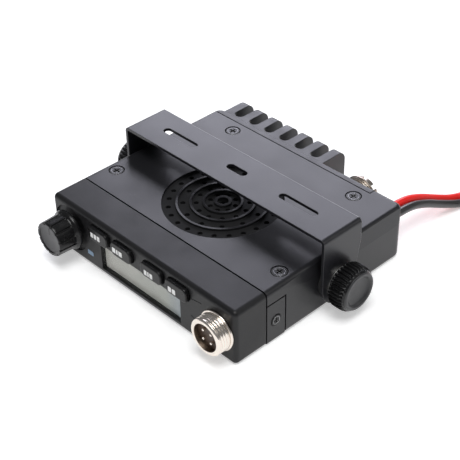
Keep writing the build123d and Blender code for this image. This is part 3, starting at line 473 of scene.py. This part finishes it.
def display_material():
    """Grey liquid crystal cell in painted light: lighter and warmer at one end, bluish at the other,
    with faint cell rows, and giving off light of its own.
    """
    g = Graph("display_cell")
    half_width, cell = 22.5 * MM, 0.9 * MM
    # Lighter and warmer towards -X: painted light.
    along = g.remap(g.axis("X"), -half_width, half_width)
    painted_light_colour = g.mix(along, (0.46, 0.45, 0.42, 1), (0.35, 0.37, 0.34, 1))
    cool_end = g.remap(g.axis("X"), 12 * MM, 22 * MM, 0, 0.8)
    painted_light_colour = g.mix(cool_end, painted_light_colour, (0.30, 0.35, 0.41, 1))
    wave = g.math("SINE", g.math("MULTIPLY", g.axis("X"), 2 * math.pi / cell))
    cell_rows = g.remap(wave, 0.7, 1.0, 0, 0.05)
    cloud = g.remap(g.noise(7, detail=3), 0.3, 0.7, 0, 0.14)
    painted_light_colour = g.mix(g.math("ADD", cell_rows, cloud), painted_light_colour, (0.12, 0.13, 0.11, 1))
    g.set("Base Color", painted_light_colour)
    # Painted light: the cell gives off light of its own.
    g.set("Emission Color", painted_light_colour)
    g.set("Emission Strength", 0.5)
    g.set("Roughness", g.remap(g.noise(5), 0.3, 0.7, 0.12, 0.22))
    return g.material


BOARD = board_material()
DUST_CLOTH = mesh_cloth_material()
WINDOW = window_material()
DISPLAY = display_material()

NODE_MATERIALS = {
    BEZEL_PLASTIC: ["front_bezel"],
    WINDOW: ["display_lens"],
    DISPLAY: ["display_panel"],
    WHITE_FRAME: ["display_frame"],
    KEY_PLASTIC: ["key_1", "key_2", "key_3", "key_4"],
    PACKAGE: [
        "switch_stem_1", "switch_stem_2", "switch_stem_3", "switch_stem_4", "tact_switches",
        "encoder_rotor", "encoder_body", "speaker_jack", "output_transistor", "board_chips",
    ],
    KNOB_PLASTIC: ["front_knob", "thumb_knob_left", "thumb_knob_right"],
    ZINC: ["encoder_shaft", "thumb_stud_left", "thumb_stud_right", "thumb_washer_left",
           "thumb_washer_right", "board_screws"],
    NICKEL: ["mic_socket_shell", "mic_socket_pins", "mic_socket_nut", "antenna_nut"],
    AGED_NICKEL: ["antenna_socket"],
    BROWN_INSULATOR: ["mic_socket_insulator"],
    WHITE_INSULATOR: ["antenna_insulator"],
    GOLD: ["antenna_contact", "supply_contacts"],
    COVER_PAINT: ["cover_shell", "base_tray"],
    BLACK_STEEL: ["cover_screws", "ear_screws"],
    CASTING: ["chassis"],
    BRACKET_PAINT: ["bracket"],
    RUBBER: ["pivot_pads", "supply_grommet", "speaker_surround"],
    WIRE_RED: ["supply_lead_red"],
    WIRE_BLACK: ["supply_lead_black"],
    NYLON: ["supply_connector"],
    SPEAKER_STEEL: ["speaker_basket", "speaker_yoke"],
    FERRITE: ["speaker_magnet"],
    CONE_PAPER: ["speaker_cone"],
    COPPER: ["speaker_voice_coil", "coils"],
    DUST_CLOTH: ["dust_mesh"],
    BOARD: ["main_board", "front_board"],
    RIBBON: ["board_ribbon"],
    SLEEVE: ["capacitors"],
    TIN: ["shield_can"],
}


def dress(piece, material):
    """Give a piece one material in place of those that it has."""
    piece.data.materials.clear()
    piece.data.materials.append(material)


def dress_all():
    """Give every CAD node and both leads their materials."""
    for material, names in NODE_MATERIALS.items():
        for name in names:
            dress(NODES[name], material)
    leads = [(red_lead, WIRE_RED, "wire_red"), (black_lead, WIRE_BLACK, "wire_black")]
    for lead, material, slot in leads:
        dress(lead, material)


dress_all()


# ---- mesh helpers -------------------------------------------------------------------------------
def axes_for(direction):
    """Two directions across a turned piece's own axis, and the axis itself."""
    axis = Vector(direction)
    across = Vector((0, 1, 0)) if abs(axis.z) > 0.9 else Vector((0, 0, 1))
    return across.cross(axis), across, axis


def turned_piece(name, origin, direction, profile, material, body, *, segments=96, radius=None,
                 replaced=(), sharp=35.0):
    """A piece turned about a line through `origin`, from (height, radius) rows in millimetres.

    `radius(angle, height, r)` may shape each row, for ribs, flutes or a thread. Rows with radius 0
    close to a point; other open ends are joined, so that the skin is closed."""
    side, across, axis = axes_for(direction)
    mesh = bmesh.new()
    rings = []
    for height, r in profile:
        centre = Vector(origin) * MM + axis * height * MM
        if r == 0:
            rings.append([mesh.verts.new(centre)])
            continue
        ring = []
        for i in range(segments):
            angle = 2 * math.pi * i / segments
            here = radius(angle, height, r) if radius else r
            offset = side * math.cos(angle) + across * math.sin(angle)
            ring.append(mesh.verts.new(centre + offset * here * MM))
        rings.append(ring)
    pairs = list(zip(rings, rings[1:]))
    if len(rings[0]) > 1 and len(rings[-1]) > 1:
        pairs.append((rings[-1], rings[0]))
    for low, high in pairs:
        for i in range(segments):
            j = (i + 1) % segments
            if len(low) == 1:
                mesh.faces.new((low[0], high[i], high[j]))
            elif len(high) == 1:
                mesh.faces.new((low[i], high[0], low[j]))
            else:
                mesh.faces.new((low[i], high[i], high[j], low[j]))
    return mesh_piece(name, mesh, material, body, replaced, sharp)


def mesh_piece(name, mesh, material, body, replaced=(), sharp=35.0):
    """Turn a finished mesh into a piece that rides its body."""
    bmesh.ops.recalc_face_normals(mesh, faces=mesh.faces)
    data = bpy.data.meshes.new(name)
    mesh.to_mesh(data)
    mesh.free()
    for face in data.polygons:
        face.use_smooth = True
    data.set_sharp_from_angle(angle=math.radians(sharp))
    piece = bpy.data.objects.new(name, data)
    bpy.context.scene.collection.objects.link(piece)
    dress(piece, material)
    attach(piece, body)
    if replaced:
        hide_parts(*replaced)
    return piece


def rows(*stops, step=0.12):
    """Evenly spaced rows along straight runs between (height, radius) stops."""
    out = [stops[0]]
    for (h0, r0), (h1, r1) in zip(stops, stops[1:]):
        count = max(1, round(abs(h1 - h0) / step))
        out += [(h0 + (h1 - h0) * i / count, r0 + (r1 - r0) * i / count) for i in range(1, count + 1)]
    return out


def thread(start, end, pitch, depth):
    """Radius rule of a right-hand thread between two heights, running out at both ends."""
    def rule(angle, height, r):
        if not start < height < end:
            return r
        turn = (height / pitch - angle / (2 * math.pi)) % 1.0
        groove = 1 - abs(2 * turn - 1)
        fade = min(1.0, (height - start) / (0.5 * pitch), (end - height) / (0.5 * pitch))
        return r - depth * fade * max(0.0, groove * 1.25 - 0.125)
    return rule


def rounded_plate(name, centre, size, thick, material, body, corner=0.4, tilt=0.0):
    """A thin plate with round corners on a face that looks towards -Y."""
    width, height = size
    arc_steps = 6
    mesh = bmesh.new()
    outline = []
    for cx, cz, start in ((1, 1, 0), (-1, 1, 90), (-1, -1, 180), (1, -1, 270)):
        for i in range(arc_steps + 1):
            angle = math.radians(start + 90 * i / arc_steps)
            outline.append((
                cx * (width / 2 - corner) + corner * math.cos(angle),
                cz * (height / 2 - corner) + corner * math.sin(angle),
            ))
    turn = math.radians(tilt)
    layers = []
    for y, grow in ((0.0, 0.0), (-thick * 0.7, 0.0), (-thick, -thick * 0.3)):
        layer = []
        for x, z in outline:
            x, z = x * (1 + 2 * grow / width), z * (1 + 2 * grow / height)
            x, z = x * math.cos(turn) - z * math.sin(turn), x * math.sin(turn) + z * math.cos(turn)
            layer.append(mesh.verts.new(Vector((centre[0] + x, centre[1] + y, centre[2] + z)) * MM))
        layers.append(layer)
    for low, high in zip(layers, layers[1:]):
        for i in range(len(low)):
            j = (i + 1) % len(low)
            mesh.faces.new((low[i], low[j], high[j], high[i]))
    mesh.faces.new(layers[0])
    mesh.faces.new(layers[-1])
    return mesh_piece(name, mesh, material, body)


# ---- microphone socket --------------------------------------------------------------------------
MIC = (42.3, 0, 12.0)
MIC_AXIS = (0, -1, 0)
MIC_THREAD_R, MIC_BORE_R = 7.5, 5.52
MIC_FACE, MIC_TIP = -FRONT_Y, 56.4


def make_mic_socket():
    """Flanged barrel with an outside thread, bright outside and dull in the bore."""
    start, end = MIC_FACE + 1.4, MIC_TIP - 0.6
    flange = [
        (MIC_FACE - 6, MIC_BORE_R), (MIC_FACE - 6, 5.9), (MIC_FACE, 5.9), (MIC_FACE, 7.9),
        (MIC_FACE + 0.1, 8.05), (MIC_FACE + 0.9, 8.05), (MIC_FACE + 1.05, 7.9), (MIC_FACE + 1.1, 7.35),
        (start, 7.35),
    ]
    mouth = [
        (MIC_TIP - 0.35, MIC_THREAD_R - 0.25), (MIC_TIP - 0.08, MIC_THREAD_R - 0.6),
        (MIC_TIP, MIC_THREAD_R - 0.8), (MIC_TIP, 5.85), (MIC_TIP - 0.1, 5.65),
        (MIC_TIP - 0.35, MIC_BORE_R),
    ]
    profile = flange + rows((start, MIC_THREAD_R), (end, MIC_THREAD_R), step=0.1) + mouth
    shell = turned_piece(
        "mic_threaded_shell", MIC, MIC_AXIS, profile, NICKEL, "housing", segments=256,
        radius=thread(start, end, 1.15, 0.42), replaced=["mic_socket_shell"], sharp=75,
    )
    shell.data.materials.append(DULL_BORE)
    for face in shell.data.polygons:
        off_axis = math.hypot(face.center.x - MIC[0] * MM, face.center.z - MIC[2] * MM)
        if off_axis < (MIC_BORE_R + 0.08) * MM:
            face.material_index = 1


make_mic_socket()


# ---- antenna socket -----------------------------------------------------------------------------
ANTENNA = (24.3, 0, 12.5)
ANTENNA_REAR, ANTENNA_TIP = 40.0, 48.8
ANTENNA_THREAD_R, ANTENNA_BORE_R = 7.94, 6.0
TOOTH_DEPTH, TOOTH_GAP = 1.7, 1.9


def make_antenna_socket():
    """Threaded barrel whose outer rim is cut into eight teeth."""
    rear, tip, r, bore_r = ANTENNA_REAR, ANTENNA_TIP, ANTENNA_THREAD_R, ANTENNA_BORE_R
    start, end = rear + 0.6, rear + 6.2
    base = [(rear - 5, 5.25), (rear - 5, 6.45), (rear, 6.45), (rear, 7.4), (start, 7.4)]
    rim = [
        (rear + 6.5, 7.5), (rear + 6.7, 6.9), (tip - 0.25, 6.9), (tip, 6.75), (tip, 6.1),
        (tip - 0.15, bore_r), (tip - 2.4, bore_r), (rear + 4.2, bore_r), (rear + 4.2, 5.25),
    ]
    profile = base + rows((start, r), (end, r), step=0.12) + rim
    shell = turned_piece(
        "antenna_threaded_shell", ANTENNA, (0, 1, 0), profile, AGED_NICKEL, "housing",
        segments=128, radius=thread(start, end, 1.06, 0.55), replaced=["antenna_socket"],
    )
    cut_teeth(shell)


def cut_teeth(shell):
    """Cut four bars through the barrel's rim, which leave eight teeth."""
    mesh = bmesh.new()
    for turn in range(4):
        matrix = Matrix.Translation(Vector((ANTENNA[0], ANTENNA_TIP, ANTENNA[2])) * MM)
        matrix @= Matrix.Rotation(math.radians(45 * turn), 4, "Y")
        matrix @= Matrix.Diagonal((20 * MM, 2 * TOOTH_DEPTH * MM, TOOTH_GAP * MM, 1))
        bmesh.ops.create_cube(mesh, size=1, matrix=matrix)
    data = bpy.data.meshes.new("tooth_gaps")
    mesh.to_mesh(data)
    mesh.free()
    cutter = bpy.data.objects.new("tooth_gaps", data)
    bpy.context.scene.collection.objects.link(cutter)
    cut = shell.modifiers.new("teeth", "BOOLEAN")
    cut.object, cut.operation, cut.solver = cutter, "DIFFERENCE", "EXACT"
    cut.use_self = True
    evaluated = shell.evaluated_get(bpy.context.evaluated_depsgraph_get())
    applied = bpy.data.meshes.new_from_object(evaluated)
    shell.modifiers.clear()
    shell.data = applied
    shell.data.set_sharp_from_angle(angle=math.radians(35))
    bpy.data.objects.remove(cutter)


make_antenna_socket()


# ---- screw heads --------------------------------------------------------------------------------
def make_screw_rings():
    """The bright metal rim of each black screw head: partly rubbed metal, partly painted highlight."""
    cover_head_z, ear_head_x = COVER_TOP - 0.15, HALF_W + 0.3
    heads = [((x, y, cover_head_z), (0, 0, 1), 2.2) for x, y in COVER_SCREWS]
    for side in (-1, 1):
        heads.append(((side * ear_head_x, EAR_SCREW_Y, EAR_SCREW_Z), (side, 0, 0), 1.75))
    for number, (origin, direction, r) in enumerate(heads, start=1):
        profile = [
            (-0.02, r - 0.3), (-0.02, r), (0.04, r - 0.03), (0.07, r - 0.1), (0.07, r - 0.2),
            (0.04, r - 0.27),
        ]
        turned_piece(
            f"screw_rim_{number}", origin, direction, profile, RUBBED_AND_HIGHLIGHT_STEEL, "housing",
        )


make_screw_rings()


# ---- front knob ---------------------------------------------------------------------------------
KNOB = (-40.5, 0, 12.5)
KNOB_SKIRT, KNOB_TIP = 0.9 - FRONT_Y, 61.0


def make_front_knob():
    """Round knob with narrow grip notches, a skirt behind and a shallow dish in front."""
    tip, skirt = KNOB_TIP, KNOB_SKIRT
    spacing, half_notch, notch_depth = 30.0, 3.6, 0.5

    def notched(angle, height, r):
        if height < skirt + 1.8 or r < 6.5:
            return r
        off_notch = abs(math.degrees(angle) % spacing - spacing / 2)
        depth = notch_depth * max(0.0, 1 - (off_notch / half_notch) ** 4)
        return r - depth * min(1.0, (height - skirt - 1.8) / 0.8)

    profile = [
        (skirt + 3, 0), (skirt + 3, 5.4), (skirt, 5.4), (skirt, 8.1), (skirt + 0.15, 8.28),
        (skirt + 1.0, 8.28), (skirt + 1.5, 8.1), (skirt + 1.9, 7.75), (skirt + 2.2, 7.5),
        (skirt + 2.6, 7.46), (skirt + 3.2, 7.44), (skirt + 5.0, 7.36), (skirt + 7.0, 7.28),
        (tip - 1.0, 7.22), (tip - 0.5, 7.18), (tip - 0.2, 7.08), (tip - 0.05, 6.95), (tip, 6.75),
        (tip, 6.1), (tip - 0.1, 5.9), (tip - 0.4, 5.65), (tip - 0.5, 5.4), (tip - 0.5, 0),
    ]
    knob = turned_piece(
        "front_knob_cap", KNOB, (0, -1, 0), profile, KNOB_PLASTIC, "knob", segments=360,
        radius=notched, replaced=["front_knob"], sharp=50,
    )
    knob.data.materials.append(KNOB_FACE)
    face_y = -(tip - 0.6) * MM
    for face in knob.data.polygons:
        if face.center.y < face_y and face.normal.y < -0.9:
            face.material_index = 1
    pointer_at = (KNOB[0], -(tip - 0.5), KNOB[2] + 3.6)
    rounded_plate(
        "front_knob_pointer", pointer_at, (0.9, 3.2), 0.03, PACKAGE, "knob", corner=0.3,
    )


make_front_knob()


# ---- thumb screws -------------------------------------------------------------------------------
THUMB_INNER, THUMB_OUTER = 55.5, 64.0


def make_thumb_knob(node, side, body):
    """Ribbed hand knob: ribs run along the barrel, the face has a raised rim and a dish."""
    ribs, rib_depth = 36, 0.85
    inner, outer, stud_r = THUMB_INNER, THUMB_OUTER, 2.6
    dish_r, dish_depth = 7.7, 1.7

    def ribbed(angle, height, r):
        if r < 8.3:
            return r
        crest = 0.5 - 0.5 * math.cos(ribs * angle)
        fade = min(1.0, max(0.0, (height - inner - 0.7) / 0.5), max(0.0, (outer - 1.3 - height) / 0.5))
        return r - rib_depth * fade * (1 - crest ** 2.2)

    profile = [
        (inner + 2.0, 0), (inner + 2.0, stud_r), (inner, stud_r), (inner, 7.4), (inner + 0.15, 7.7),
        (inner + 0.7, 8.5), (inner + 1.0, 8.8), (inner + 1.4, 9.05), (inner + 2.0, 9.18),
        (inner + 3.5, 9.18), (inner + 5.0, 9.16), (outer - 2.6, 9.05), (outer - 2.0, 8.9),
        (outer - 1.5, 8.6), (outer - 1.1, 8.25), (outer - 0.8, 7.95), (outer - 0.5, 7.78),
        (outer - 0.2, 7.6), (outer - 0.05, 7.42), (outer, 7.2), (outer, 6.7), (outer - 0.08, 6.45),
        (outer - 0.35, 6.2), (outer - 0.8, 5.9), (outer - 1.15, 5.5), (outer - 1.3, 5.0),
        (outer - 1.42, 3.6), (outer - 1.5, 1.8), (outer - 1.52, 0.0),
    ]
    knob = turned_piece(
        f"{node}_cap", (0, 0, PIVOT_Z), (side, 0, 0), profile, KNOB_PLASTIC, body,
        segments=360, radius=ribbed, replaced=[node], sharp=60,
    )
    knob.data.materials.append(KNOB_FACE)
    for face in knob.data.polygons:
        off_axis = math.hypot(face.center.y, face.center.z - PIVOT_Z * MM)
        if abs(face.center.x) > (outer - dish_depth) * MM and off_axis < dish_r * MM:
            face.material_index = 1


make_thumb_knob("thumb_knob_left", -1, "thumb_screw_left")
make_thumb_knob("thumb_knob_right", 1, "thumb_screw_right")


# ---- bracket edge -------------------------------------------------------------------------------
def make_bracket_edge():
    """A thin light line along the rear top edge: painted highlight."""
    half_length, width, proud = 53.0, 0.26, 0.02
    edge_y = 10.55
    mesh = bmesh.new()
    matrix = Matrix.Translation(Vector((0, edge_y, BRACKET_TOP)) * MM)
    matrix @= Matrix.Diagonal((2 * half_length * MM, width * MM, 2 * proud * MM, 1))
    bmesh.ops.create_cube(mesh, size=1, matrix=matrix)
    mesh_piece("bracket_edge_highlight", mesh, EDGE_HIGHLIGHT_STRIP, "bracket")


make_bracket_edge()


# ---- marks on the front -------------------------------------------------------------------------
KEY_FACE_Y = FRONT_Y - 1.7
KEY_MARKS = {  # middle x, middle z and the widths of the bars
    "key_1": (-23.2, 18.1, (1.5, 1.5, 1.5)),
    "key_2": (-10.2, 18.0, (1.9, 0.9, 1.9)),
    "key_3": (7.4, 17.5, (1.5, 0.7, 1.5)),
    "key_4": (20.2, 17.5, (1.7, 1.7)),
}


def make_marks():
    """Plain bars on the keys, and a blank badge and two raised lines on the bezel."""
    gap, bar_height = 0.45, 2.2
    for key, (x, z, widths) in KEY_MARKS.items():
        at = x - (sum(widths) + gap * (len(widths) - 1)) / 2
        for number, width in enumerate(widths, start=1):
            rounded_plate(
                f"{key}_bar_{number}", (at + width / 2, KEY_FACE_Y, z), (width, bar_height), 0.03,
                PRINT_WHITE, key, corner=0.22,
            )
            at += width + gap
    rounded_plate(
        "bezel_badge", (-29.4, FRONT_Y, 6.2), (3.4, 2.0), 0.05, PRINT_BLUE, "housing",
        corner=0.5,
    )
    raised_lines = [(31.3, 18.2, 5.3, 10), (29.2, 9.4, 2.4, -28)]
    for number, (x, z, length, tilt) in enumerate(raised_lines, start=1):
        rounded_plate(
            f"bezel_line_{number}", (x, FRONT_Y, z), (length, 0.4), 0.12, BEZEL_PLASTIC, "housing",
            corner=0.18, tilt=tilt,
        )


make_marks()


# ---- floor and light ----------------------------------------------------------------------------
def make_floor():
    """Pale flat floor, bright enough to fade into the white backdrop."""
    reach = 3.0
    corners = [(-reach, -reach, 0), (reach, -reach, 0), (reach, reach, 0), (-reach, reach, 0)]
    data = bpy.data.meshes.new("floor")
    data.from_pydata(corners, [], [(0, 1, 2, 3)])
    floor = bpy.data.objects.new("floor", data)
    bpy.context.scene.collection.objects.link(floor)
    g = Graph("pale_floor")
    g.set("Base Color", g.mix(g.noise(300, detail=2), (0.90, 0.90, 0.90, 1), (0.93, 0.93, 0.93, 1)))
    g.set("Emission Color", (1, 1, 1, 1))
    g.set("Emission Strength", 0.42)
    g.set("Roughness", 0.7)
    g.set("Specular IOR Level", 0.1)
    dress(floor, g.material)


def make_light(name, place, size, power, colour=(1, 1, 1)):
    """An area light, placed in metres and aimed at the object."""
    aim = Vector((0, 0, 0.01))
    data = bpy.data.lights.new(name, "AREA")
    data.shape = "RECTANGLE"
    data.size, data.size_y = size
    data.energy = power
    data.color = colour
    light = bpy.data.objects.new(name, data)
    light.location = place
    light.rotation_euler = (aim - Vector(place)).to_track_quat("-Z", "Y").to_euler()
    bpy.context.scene.collection.objects.link(light)


def make_studio():
    """Floor, dim sky, two soft boxes and a small card."""
    make_floor()
    world = bpy.data.worlds.new("studio")
    world.use_nodes = True
    background = world.node_tree.nodes["Background"]
    background.inputs["Color"].default_value = (0.96, 0.98, 1.0, 1)
    background.inputs["Strength"].default_value = 0.2
    bpy.context.scene.world = world
    make_light("softbox_rear", (-0.68, 0.81, 0.56), (0.68, 0.68), 7.2, colour=(0.87, 0.87, 1.0))
    make_light("softbox_top", (0.25, -0.2, 1.2), (0.7, 0.7), 9)
    make_light("card_right", (0.60, 0.50, 0.55), (0.35, 0.3), 0.5, colour=(1.0, 0.98, 0.95))
    bpy.context.scene.view_settings.view_transform = "Standard"


make_studio()
